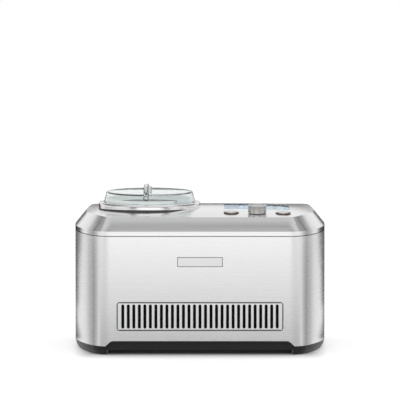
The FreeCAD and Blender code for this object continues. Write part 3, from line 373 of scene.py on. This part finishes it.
# Plastic, rubber, foam and paint with a fine grain
grainLook = dict(detail=2.0, cloudShare=0.6, depth=0.2 * mm)
plasticLooks = dict(
    basePlastic=dict(
        colour=(0.011, 0.011, 0.012), tone=(0.85, 1.25), roughness=0.40, swing=0.12, grainScale=1400.0,
        cloudScale=16.0, bump=0.10, specular=0.35),
    innerPlastic=dict(
        colour=(0.030, 0.031, 0.033), tone=(0.85, 1.2), roughness=0.5, swing=0.12, grainScale=1100.0,
        cloudScale=18.0, bump=0.10, specular=0.4),
    # black plastic of the screens that stand in for the shade behind the vents
    screenPlastic=dict(
        colour=(0.006, 0.006, 0.006), tone=(0.85, 1.2), roughness=0.7, swing=0.12, grainScale=1100.0,
        cloudScale=18.0, bump=0.10, specular=0.15),
    rubber=dict(
        colour=(0.022, 0.022, 0.023), tone=(0.85, 1.3), roughness=0.78, swing=0.12, grainScale=900.0,
        cloudScale=40.0, bump=0.16, specular=0.3),
    foam=dict(
        colour=(0.80, 0.72, 0.50), tone=(0.88, 1.06), roughness=0.9, swing=0.08, grainScale=420.0,
        cloudScale=26.0, bump=0.45, specular=0.2),
    paddlePlastic=dict(
        colour=(0.80, 0.80, 0.78), tone=(0.96, 1.03), roughness=0.34, swing=0.08, grainScale=1200.0,
        cloudScale=22.0, bump=0.05, specular=0.5),
    gearPlastic=dict(
        colour=(0.74, 0.72, 0.64), tone=(0.94, 1.04), roughness=0.42, swing=0.08, grainScale=1200.0,
        cloudScale=30.0, bump=0.06, specular=0.5),
    compressorPaint=dict(
        colour=(0.018, 0.018, 0.02), tone=(0.85, 1.3), roughness=0.30, swing=0.10, grainScale=500.0,
        cloudScale=20.0, bump=0.08, specular=0.5),
    bezelPlastic=dict(
        colour=(0.075, 0.030, 0.026), tone=(0.85, 1.2), roughness=0.30, swing=0.08, grainScale=1500.0,
        cloudScale=60.0, bump=0.05, specular=0.5),
    electronics=dict(
        colour=(0.025, 0.025, 0.027), tone=(0.85, 1.2), roughness=0.42, swing=0.10, grainScale=1500.0,
        cloudScale=80.0, bump=0.08, specular=0.5),
)


def mouldedPlastic(name, look):
    made = Finish(name, Metallic=0.0)
    made.feed("Specular IOR Level", look["specular"])
    grain = made.noise(made.place(), look["grainScale"], grainLook["detail"])
    cloud = made.noise(made.place(), look["cloudScale"])
    made.feed("Base Color", made.shade(cloud, look["colour"], look["tone"]))
    slow = swing(cloud, look["swing"] * grainLook["cloudShare"])
    made.feed("Roughness", look["roughness"] + swing(grain, look["swing"]) + slow)
    made.bump(grain, look["bump"], grainLook["depth"])
    return made.material


addFinishes(mouldedPlastic, plasticLooks)

# See-through plastic and glass
clearLooks = dict(
    clearLid=dict(
        colour=(0.93, 0.975, 0.97), tone=(0.98, 1.0), ior=1.2, clear=0.95, roughness=0.012, swing=0.02,
        hazeScale=40.0),
    displayGlass=dict(
        colour=(0.90, 0.95, 0.98), tone=(0.985, 1.0), ior=1.12, clear=1.0, roughness=0.03, swing=0.03,
        hazeScale=80.0),
)


def clearPlastic(name, look):
    made = Finish(name, Metallic=0.0)
    made.feed("IOR", look["ior"])
    made.feed("Transmission Weight", look["clear"])
    haze = made.noise(made.place(), look["hazeScale"])
    made.feed("Base Color", made.shade(haze, look["colour"], look["tone"]))
    made.feed("Roughness", look["roughness"] + haze * look["swing"])
    return made.material


addFinishes(clearPlastic, clearLooks)

# Green boards with copper tracks under the varnish
boardLooks = dict(
    board=dict(
        colour=(0.018, 0.11, 0.05), trackColour=(0.06, 0.26, 0.12), trackShare=0.7, trackScale=90.0,
        trackWidth=0.03, trackRow=0.2, stagger=0.37, weaveScale=700.0, weaveDetail=2.0, roughness=0.35,
        swing=0.2, bump=0.2, specular=0.5),
)


def circuitBoard(name, look):
    made = Finish(name, Metallic=0.0)
    made.feed("Specular IOR Level", look["specular"])
    at = made.place()
    tracks = made.node("ShaderNodeTexBrick", {"offset": look["stagger"]},
                       {"Vector": at, "Scale": look["trackScale"], "Mortar Size": look["trackWidth"],
                        "Row Height": look["trackRow"]}, out="Fac")
    weave = made.noise(at, look["weaveScale"], look["weaveDetail"])
    share = tracks * look["trackShare"] + weave * (1 - look["trackShare"])
    made.feed("Base Color", made.mix(share, look["colour"], look["trackColour"]))
    made.feed("Roughness", look["roughness"] + weave * look["swing"])
    made.bump(tracks, look["bump"])
    return made.material


addFinishes(circuitBoard, boardLooks)

# The backlit display. Rows are shares of its window's depth from the front
# Bar and digit shares are half their widths, in columns
displayLooks = dict(
    display=dict(
        columns=13.0, barRow=0.30, barHalf=0.10, barShare=0.34, digitRow=0.62, digitHalf=0.14,
        digitShare=0.22, stripFrom=0.86, colour=(0.13, 0.31, 0.49), tone=(0.92, 1.08), cloudScale=14.0,
        markColour=(0.32, 0.53, 0.70), stripColour=(0.04, 0.06, 0.08), roughness=0.3, swing=0.1, glow=0.15),
)


def displayPicture(name, look):
    # rows of plain bar marks
    made = Finish(name, Metallic=0.0)
    low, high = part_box("lcd_window")
    size = high - low
    at = made.place((1 / size.x, 1 / size.y, 1), (-low.x / size.x, -low.y / size.y, 0))
    back = made.along("Y", at)
    offCentre = abs((made.along("X", at) * look["columns"]).fraction() - 0.5)
    bars = (offCentre < look["barShare"]) * (abs(back - look["barRow"]) < look["barHalf"])
    digits = (offCentre < look["digitShare"]) * (abs(back - look["digitRow"]) < look["digitHalf"])
    cloud = made.noise(made.place(), look["cloudScale"])
    ground = made.shade(cloud, look["colour"], look["tone"])
    marked = made.mix(bars.atLeast(digits), ground, look["markColour"])
    whole = made.mix(back > look["stripFrom"], marked, look["stripColour"])
    made.feed("Base Color", whole)
    made.feed("Emission Color", whole)
    made.feed("Emission Strength", look["glow"])
    made.feed("Roughness", look["roughness"] + cloud * look["swing"])
    return made.material


addFinishes(displayPicture, displayLooks)
print("finishes made:", len(finishes))

# Which finish each CAD piece wears
wears = dict(
    brushedSteel=("outer_shell",),
    coverSteel=("top_cover",),
    ventSteel=("front_grille",),
    rearVentSteel=("rear_grille",),
    badgeMetal=("badge_plate",),
    basePlastic=("base_tray", "cord_gland"),
    innerPlastic=("gear_case_lower", "gear_case_upper", "fan_shroud", "fan_blade", "board_bracket"),
    rubber=("rubber_feet", "collar_gasket", "shaft_seal", "compressor_grommets"),
    polishedMetal=("bowl_collar",),
    bowlAluminium=("bowl", "bowl_post", "cooling_well", "evaporator_jacket", "condenser_fins"),
    foam=("foam_insulation",),
    paddlePlastic=("paddle",),
    clearLid=("lid", "lid_flap"),
    pinSteel=("flap_hinge_pin", "output_shaft", "motor_shaft", "base_screws", "motor_screws",
              "compressor_bolts"),
    gearPlastic=("drive_gear", "motor_pinion"),
    bushBronze=("lower_bush", "upper_bush"),
    motorSteel=("drive_motor", "fan_motor"),
    compressorPaint=("compressor",),
    copper=("condenser_tubes", "filter_drier", "capillary_tube", "discharge_line", "suction_line"),
    dialMetal=("dial_knob",),
    buttonMetal=("power_button", "start_button"),
    bezelPlastic=("button_bezels",),
    electronics=("dial_encoder", "button_switches"),
    board=("control_board", "power_board"),
    displayGlass=("lcd_window",),
    display=("lcd_module",),
)


def dressNodes():
    for finish, names in wears.items():
        for name in names:
            mesh = nodes[name].data
            mesh.materials.clear()
            mesh.materials.append(finishes[finish])
            mesh.polygons.foreach_set("material_index", [0] * len(mesh.polygons))


dressNodes()
print("finishes on", len(nodes), "pieces")

faceFront = Matrix.Rotation(math.radians(90), 4, "X")        # stands a shape up that is drawn flat
faceBack = Matrix.Rotation(math.radians(180), 4, "Z") @ faceFront


def shapeObject(name, shape, material, smooth=False):
    mesh = bpy.data.meshes.new(name)
    shape.to_mesh(mesh)
    shape.free()
    mesh.materials.append(material)
    mesh.polygons.foreach_set("use_smooth", [smooth] * len(mesh.polygons))
    made = bpy.data.objects.new(name, mesh)
    scene.collection.objects.link(made)
    return made


# Pieces that the CAD model leaves plain
def newPiece(name, shape, finish, body, smooth=False):
    piece = shapeObject(name, shape, finishes[finish], smooth)
    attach(piece, body)
    return piece


def jointPlace(name):
    # puts a shape that is drawn upright round the joint's axis
    joint = joints[name]
    turn = Vector((0, 0, 1)).rotation_difference(Vector(joint["axis"]))
    return Matrix.Translation(Vector(joint["pos_m"])) @ turn.to_matrix().to_4x4()


def spinUpright(shape, geom, steps):
    bmesh.ops.spin(shape, geom=geom, axis=(0, 0, 1), cent=(0, 0, 0), angle=math.tau, steps=steps,
                   use_merge=True)
    bmesh.ops.remove_doubles(shape, verts=shape.verts[:], dist=weld)
    bmesh.ops.recalc_face_normals(shape, faces=shape.faces[:])


def roundEdges(shape, edges, offset, segments):
    bmesh.ops.bevel(shape, geom=edges, offset=offset, offset_type="OFFSET", segments=segments, profile=0.5,
                    affect="EDGES", material=-1)


screenLook = dict(cell=5.2 * mm, rib=0.9 * mm, pocket=0.5 * mm, thick=0.8 * mm, gap=0.8 * mm, margin=4.6 * mm)


def ventShadeScreen(name, grille, side):
    # a black ribbed screen close behind the slots, which stands in for the shade inside them
    look = screenLook
    low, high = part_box(grille)
    wide = high.x - low.x - 2 * look["margin"]
    tall = high.z - low.z - 2 * look["margin"]
    middle = pieceMiddle(grille)
    middle.y = high.y + look["gap"] if side < 0 else low.y - look["gap"]
    turn = faceFront if side < 0 else faceBack
    shape = bmesh.new()
    bmesh.ops.create_grid(shape, x_segments=round(wide / look["cell"]), y_segments=round(tall / look["cell"]),
                          size=0.5)  # a unit square
    shape.transform(Matrix.Translation(middle) @ turn @ Matrix.Diagonal((wide, tall, 1, 1)))
    bmesh.ops.inset_individual(shape, faces=shape.faces[:], thickness=look["rib"] / 2, depth=-look["pocket"],
                               use_even_offset=True)
    rims = [edge for edge in shape.edges if edge.is_boundary]
    walls = bmesh.ops.extrude_edge_only(shape, edges=rims)["geom"]
    corners = [part for part in walls if isinstance(part, bmesh.types.BMVert)]
    bmesh.ops.translate(shape, verts=corners, vec=(0, -side * look["thick"], 0))
    bmesh.ops.edgeloop_fill(shape, edges=[edge for edge in shape.edges if edge.is_boundary])
    bmesh.ops.recalc_face_normals(shape, faces=shape.faces[:])
    newPiece(name, shape, "screenPlastic", "chassis")


ventShadeScreen("frontVentShadeScreen", "front_grille", -1)
ventShadeScreen("rearVentShadeScreen", "rear_grille", 1)
print("vent screens done")

# The dial in mm, from its joint's place upwards
dialLook = dict(
    steps=72, foot=0.4, footRadius=13.8, sideRadius=14.5, ribLow=1.4, ribHigh=10.2, ribInset=0.28,
    ribDepth=0.12, neckRadius=13.9, neckLow=10.5, neckHigh=10.8, headLow=11.0, headRadius=15.0, top=12.9,
    round=0.6, roundShare=0.3, rim=2.4, dish=0.7, dishSlope=0.8, dishFall=0.4, bore=3.2, boreTop=8.4,
    markLength=6.0, markWidth=1.1, markRise=0.25, markInset=1.0, markSink=0.2, markRound=0.15, markSegments=2)


def selectorDial():
    look = dialLook
    edge, top = look["headRadius"], look["top"]
    dishEdge = edge - look["rim"]
    shoulder = look["round"] * look["roundShare"]
    profile = [
        (0, look["boreTop"]), (look["bore"], look["boreTop"]), (look["bore"], look["foot"]),
        (look["footRadius"], look["foot"]), (look["sideRadius"], look["ribLow"]),
        (look["sideRadius"], look["ribHigh"]), (look["neckRadius"], look["neckLow"]),
        (look["neckRadius"], look["neckHigh"]), (edge, look["headLow"]), (edge, top - look["round"]),
        (edge - shoulder, top - shoulder), (edge - look["round"], top), (dishEdge, top),
        (dishEdge - look["dishSlope"], top - look["dish"]), (0, top - look["dish"] - look["dishFall"]),
    ]
    shape = bmesh.new()
    spots = [shape.verts.new((radius * mm, 0, z * mm)) for radius, z in profile]
    edges = [shape.edges.new(pair) for pair in zip(spots, spots[1:])]
    spinUpright(shape, spots + edges, look["steps"])
    grooves = [face for face in shape.faces
               if look["ribLow"] * mm < face.calc_center_median().z < look["ribHigh"] * mm
               and face.calc_center_median().xy.length > look["neckRadius"] * mm]
    bmesh.ops.inset_individual(shape, faces=grooves, thickness=look["ribInset"] * mm,
                               depth=-look["ribDepth"] * mm)
    shape.transform(jointPlace("dial_turn"))
    dial = newPiece("selectorDial", shape, "dialMetal", "dial")
    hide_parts("dial_knob")


def dialMark():
    look = dialLook
    size = (look["markWidth"] * mm, look["markLength"] * mm, 2 * look["markRise"] * mm)
    reach = look["headRadius"] - look["rim"] - look["markLength"] / 2 - look["markInset"]
    floor = look["top"] - look["dish"] - look["markSink"]
    shape = bmesh.new()
    bmesh.ops.create_cube(shape, size=1.0)
    shape.transform(Matrix.Translation((0, -reach * mm, floor * mm)) @ Matrix.Diagonal((*size, 1)))
    roundEdges(shape, shape.edges[:], look["markRound"] * mm, look["markSegments"])
    shape.transform(jointPlace("dial_turn"))
    newPiece("dialMark", shape, "bezelPlastic", "dial")


selectorDial()
dialMark()
print("dial done")

plateLook = dict(x=-45.0, z=118.0, width=64.0, height=34.0, thick=0.5, corner=3.0, cornerSegments=5,
                 rivetInset=4.0, rivetRadius=1.6, rivetRise=0.7, rivetSides=16, rivetRings=8)


def ratingPlate():
    # a bare metal plate on the back, held by four rivets
    look = plateLook
    size = Vector((look["width"], look["thick"], look["height"])) * mm
    shape = bmesh.new()
    bmesh.ops.create_cube(shape, size=1.0)
    shape.transform(Matrix.Diagonal((*size, 1)))
    through = [edge for edge in shape.edges if abs(edge.verts[0].co.y - edge.verts[1].co.y) > size.y / 2]
    roundEdges(shape, through, look["corner"] * mm, look["cornerSegments"])
    squash = look["rivetRise"] / look["rivetRadius"]
    for sideX in (-1, 1):
        for sideZ in (-1, 1):
            head = bmesh.ops.create_uvsphere(shape, u_segments=look["rivetSides"],
                                             v_segments=look["rivetRings"],
                                             radius=look["rivetRadius"] * mm)
            spot = Vector((sideX * (look["width"] / 2 - look["rivetInset"]), look["thick"] / 2,
                           sideZ * (look["height"] / 2 - look["rivetInset"]))) * mm
            bmesh.ops.scale(shape, verts=head["verts"], vec=(1, squash, 1))
            bmesh.ops.translate(shape, verts=head["verts"], vec=spot)
    shape.transform(Matrix.Translation((look["x"] * mm, cadHigh.y + size.y / 2, look["z"] * mm)))
    newPiece("ratingPlate", shape, "plateMetal", "chassis")


ratingPlate()
print("rating plate done")

# Two small rings at the front end of the lid's spine, in mm from the middle, front and foot of the lid
spineLook = dict(aside=-5.0, steps=40, sides=10, rings=dict(
    spineRing=dict(radius=3.7, wire=0.55, back=1.2, rise=11.2),
    spineEye=dict(radius=0.78, wire=0.72, back=6.6, rise=17.1),
))


def spineRings():
    # each is a round wire, bent into a ring that faces the front
    low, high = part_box("lid")
    start = Vector(((low.x + high.x) / 2, low.y, low.z))
    for name, ring in spineLook["rings"].items():
        shape = bmesh.new()
        bmesh.ops.create_circle(shape, segments=spineLook["sides"], radius=ring["wire"] * mm)
        shape.transform(Matrix.Translation((ring["radius"] * mm, 0, 0)) @ faceFront)
        spinUpright(shape, shape.verts[:] + shape.edges[:], spineLook["steps"])
        offset = Vector((spineLook["aside"], ring["back"], ring["rise"])) * mm
        shape.transform(Matrix.Translation(start + offset) @ faceFront)
        newPiece(name, shape, "rubber", "lid", smooth=True)


spineRings()
print("spine rings done")

# Studio, in metres
worldLook = dict(
    level=0.72,           # lights the machine from all round
    mirrorLevel=1.0,      # what metal sees at the horizon
    mirrorFall=0.39,      # how much less it sees overhead
)
floorLook = dict(
    size=5.0, cells=4, colour=(0.68, 0.68, 0.68), tone=(0.995, 1.005), fibreScale=60.0, roughness=0.9,
    footHalf=(0.17, 0.11),                        # the machine's foot, round which the shadow shows
    sideScale=6.0, whiteReach=0.08, white=0.54,   # away from it the floor is white
    mirrorColour=(0.40, 0.40, 0.40),              # what metal sees of the floor
    mirrorReach=2.3, mirrorGlow=0.34,             # its glow in front, which rises with the distance
    sideGlow=0.60, aheadRise=6.0, aheadStart=0.3,  # and its even glow beside and behind
)
boxLook = dict(
    frontBox=dict(size=(2.6, 0.9), at=(0, -2.4, 0.55), aim=(0, 0, 0.3), radiance=0.55),
    topBox=dict(size=(1.6, 0.7), at=(0, 0.5, 1.9), aim=(0, 0, 0.2), radiance=0.6),
)

# Dark cards that only shiny surfaces see. Foot and head are the middles of two opposite edges
cardLook = dict(
    leftEdge=dict(foot=(-0.34, 0.60, 0), head=(-0.34, 0.60, 0.15), width=0.30, level=0.03),
    rightEdge=dict(foot=(0.34, 0.60, 0), head=(0.34, 0.60, 0.15), width=0.30, level=0.03),
    leftEdgeMat=dict(foot=(-0.225, 0.07, 0.002), head=(-0.34, 0.60, 0.002), width=0.11, level=0.05),
    rightEdgeMat=dict(foot=(0.225, 0.07, 0.002), head=(0.34, 0.60, 0.002), width=0.11, level=0.05),
    bevelStrip=dict(foot=(0, -0.169, 0.30), head=(0, -0.158, 0.30), width=0.6, level=0.30),
    backStrip=dict(foot=(0, 1.15, 0.02), head=(0, 1.15, 0.33), width=2.0, level=0.05),
    leftBand=dict(foot=(-0.72, -0.85, 0.22), head=(-0.72, -0.85, 1.1), width=0.26, level=0.10),
    rightBand=dict(foot=(0.56, -0.85, 0.22), head=(0.56, -0.85, 1.1), width=0.26, level=0.10),
)

# Flags are such cards in an arc round each front corner. A strip is two bearings from the front and a level
flagLook = dict(
    corner=(0.165, -0.125), reach=0.65, matStart=0.05, matZ=0.002,
    low=dict(foot=0.0, head=0.165, strips=(
        (66, 84, 0.75), (84, 100, 0.46), (100, 116, 0.36), (116, 129, 0.25), (129, 134, 0.50))),
    high=dict(foot=0.44, head=1.30, strips=((95, 126, 0.34), (126, 165, 0.24))),
)


def buildWorld():
    scene.world = bpy.data.worlds.new("studio")
    scene.world.use_nodes = True
    sky = Web(scene.world.node_tree)
    seen = sky.seen()
    mirrored = sky.mirrored()
    up = sky.along("Z", sky.node("ShaderNodeTexCoord", out="Generated")).atLeast(0)
    level = (seen + mirrored * (worldLook["mirrorLevel"] - up * worldLook["mirrorFall"])
             + (1 - seen.atLeast(mirrored)) * worldLook["level"])
    glow = sky.node("ShaderNodeBackground", None, {"Color": white, "Strength": level})
    sky.node("ShaderNodeOutputWorld", None, {"Surface": glow})


def stagePlate(name, shape, material):
    plate = shapeObject(name, shape, material)
    return plate


def buildFloor():
    look = floorLook
    paper = Finish("floorPaper", Roughness=look["roughness"], Metallic=0.0)
    paper.feed("Specular IOR Level", 0.0)
    paper.feed("Emission Strength", 1.0)
    fibre = paper.noise(paper.place(), look["fibreScale"])
    outX = (abs(paper.along("X")) - look["footHalf"][0]).atLeast(0)
    outY = (abs(paper.along("Y")) - look["footHalf"][1]).atLeast(0)
    away = (outX * outX * look["sideScale"] + outY * outY).root()
    reach = (outX * outX + outY * outY).root()
    ahead = (paper.along("Y") * -look["aheadRise"] - look["aheadStart"]).atLeast(0).upTo(1)  # 1 in front
    seen = paper.seen()
    mirrored = paper.mirrored()
    sheet = paper.shade(fibre, look["colour"], look["tone"])
    paper.feed("Base Color", paper.mix(mirrored, sheet, look["mirrorColour"]))
    glow = (seen * (away / look["whiteReach"]).upTo(1) * look["white"]
            + mirrored * ahead * reach.upTo(look["mirrorReach"]) * look["mirrorGlow"]
            + mirrored * (1 - ahead) * look["sideGlow"])
    paper.feed("Emission Color", paper.mix(glow, black, white))
    shape = bmesh.new()
    bmesh.ops.create_grid(shape, x_segments=look["cells"], y_segments=look["cells"], size=look["size"])
    stagePlate("floor", shape, paper.material)


def stageCard(name, corners, level):
    felt = Finish(name, Roughness=1.0)
    felt.feed("Base Color", black)
    felt.feed("Specular IOR Level", 0.0)
    felt.feed("Emission Color", (level, level, level))
    felt.feed("Emission Strength", 1.0)
    shape = bmesh.new()
    shape.faces.new([shape.verts.new(corner) for corner in corners])
    plate = stagePlate(name, shape, felt.material)
    plate.visible_camera = False
    plate.visible_diffuse = False
    plate.visible_shadow = False
    plate.visible_transmission = False


def buildCards():
    for name, card in cardLook.items():
        foot = Vector(card["foot"])
        head = Vector(card["head"])
        facing = head - foot if foot.z == head.z else foot   # an upright card faces the machine
        half = Vector((-facing.y, facing.x, 0)).normalized() * card["width"] / 2
        stageCard(name, (foot - half, foot + half, head + half, head - half), card["level"])


def flagCorner(side, bearing, reach, z):
    turn = math.radians(bearing)
    x, y = flagLook["corner"]
    return side * (x + reach * math.sin(turn)), y - reach * math.cos(turn), z


def addFlag(name, side, strip, near, far):
    # near and far are the reach and height of two opposite edges
    first, last, level = strip
    corners = [flagCorner(side, bearing, *near) for bearing in (first, last)]
    corners += [flagCorner(side, bearing, *far) for bearing in (last, first)]
    stageCard(name, corners, level)


def buildFlags():
    # low flags stand at the far ends of mats and show on the walls, high ones show on the bevel
    reach = flagLook["reach"]
    for height in ("low", "high"):
        look = flagLook[height]
        for number, strip in enumerate(look["strips"]):
            for side, label in ((-1, "left"), (1, "right")):
                name = "%s%s%d" % (label, height.capitalize(), number)
                addFlag(name + "Flag", side, strip, (reach, look["foot"]), (reach, look["head"]))
                if height == "low":
                    mat = flagLook["matZ"]
                    addFlag(name + "Mat", side, strip, (flagLook["matStart"], mat), (reach, mat))


def addSoftbox(name, box):
    light = bpy.data.lights.new(name, "AREA")
    light.shape = "RECTANGLE"
    wide, tall = box["size"]
    light.size = wide
    light.size_y = tall
    light.energy = box["radiance"] * math.pi * wide * tall
    lamp = bpy.data.objects.new(name, light)
    scene.collection.objects.link(lamp)
    lamp.location = box["at"]
    lamp.rotation_euler = (Vector(box["aim"]) - Vector(box["at"])).to_track_quat("-Z", "Y").to_euler()
    lamp.visible_camera = False
    lamp.visible_transmission = False


buildWorld()
buildFloor()
buildCards()
buildFlags()
for boxName, softbox in boxLook.items():
    addSoftbox(boxName, softbox)
print("studio ready")

cameraLook = dict(aim=(0, 0, 0.2347), distance=9.0, elevation=5.0, lens=504.6, sensor=36.0)


def buildCamera():
    lens = bpy.data.cameras.new("camera")
    lens.lens = cameraLook["lens"]
    lens.sensor_width = cameraLook["sensor"]
    camera = bpy.data.objects.new("camera", lens)
    scene.collection.objects.link(camera)
    rise = math.radians(cameraLook["elevation"])
    back = Vector((0, -math.cos(rise), math.sin(rise))) * cameraLook["distance"]
    camera.location = Vector(cameraLook["aim"]) + back
    camera.rotation_euler = (-back).to_track_quat("-Z", "Y").to_euler()
    scene.camera = camera


buildCamera()
print("camera ready")
